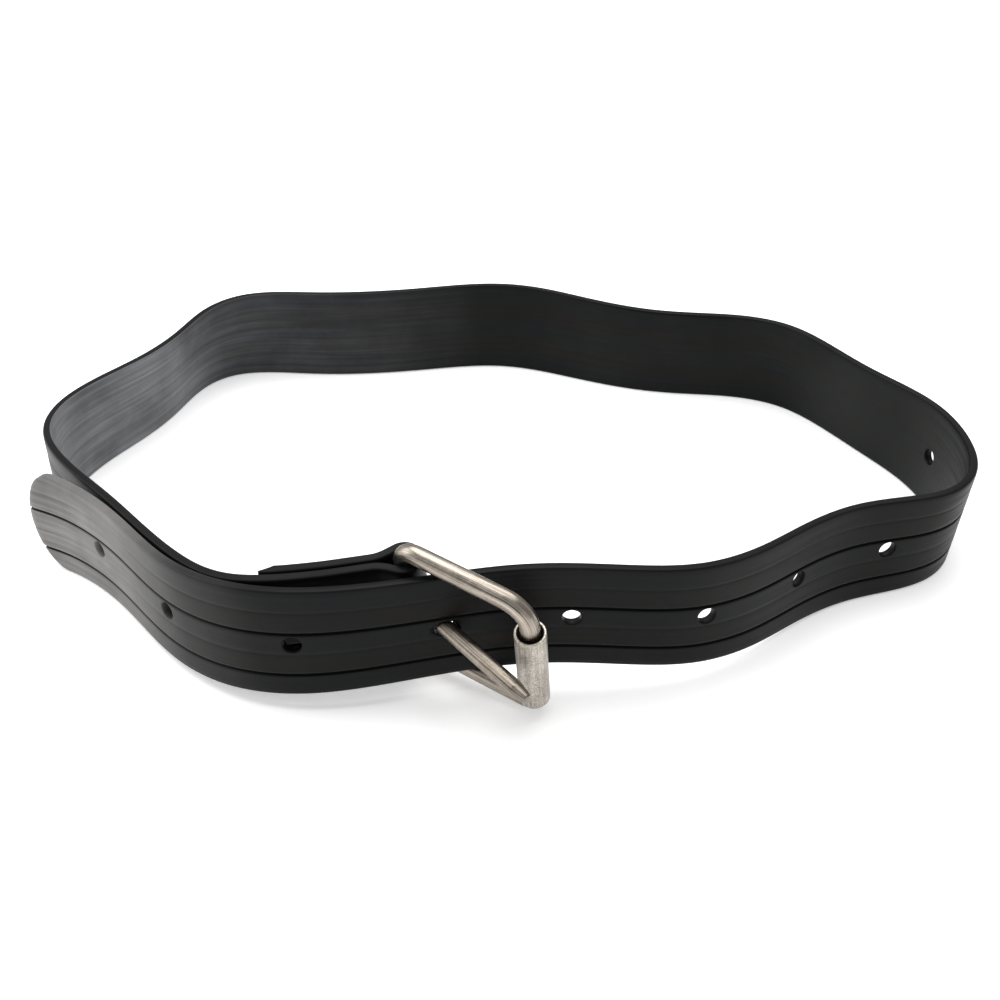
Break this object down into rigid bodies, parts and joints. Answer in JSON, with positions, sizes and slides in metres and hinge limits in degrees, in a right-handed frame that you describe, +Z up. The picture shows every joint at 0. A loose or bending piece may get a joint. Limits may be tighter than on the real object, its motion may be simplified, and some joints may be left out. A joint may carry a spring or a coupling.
{
  "type": "dive weight belt",
  "caption": "Looped rubber strap for diving weights, with punched holes and a welded wire buckle that has a loose tube roller and a pointed tongue.",
  "frame": {"origin": "middle of the part's plan, on the plane the strap's lower edge rests on", "axes": "+X along the loop's longest side, +Y from the buckle's side to the plain side, +Z up across the strap's width"},
  "size_m": [0.423, 0.3162, 0.0701],
  "materials": {
    "strap_rubber": "satin, moulded in five long ribs",
    "glue": "matte cured glue",
    "frame_steel": "satin, drawn wire",
    "roller_steel": "matte, finely pitted",
    "tongue_steel": "satin, drawn wire"
  },
  "bodies": {
    "belt": {"strap": "strap_rubber", "glue_film": "glue"},
    "frame": {"buckle_frame": "frame_steel"},
    "roller_tube": {"roller": "roller_steel"},
    "prong": {"tongue": "tongue_steel"}
  },
  "joints": [
    {"name": "frame_pivot", "type": "hinge", "parent": "belt", "child": "frame", "pos_m": [-0.03366, -0.11041, 0.03801], "axis": [-0.06, -0.26, 0.9637], "range_deg": [-2, 5]},
    {"name": "roller_spin", "type": "hinge", "parent": "frame", "child": "roller_tube", "pos_m": [0.01259, -0.13941, 0.03099], "axis": [-0.06, -0.26, 0.9637], "continuous": true},
    {"name": "tongue_pivot", "type": "hinge", "parent": "belt", "child": "prong", "pos_m": [-0.03366, -0.11041, 0.03801], "axis": [-0.06, -0.26, 0.9637], "range_deg": [-3, 2]}
  ]
}
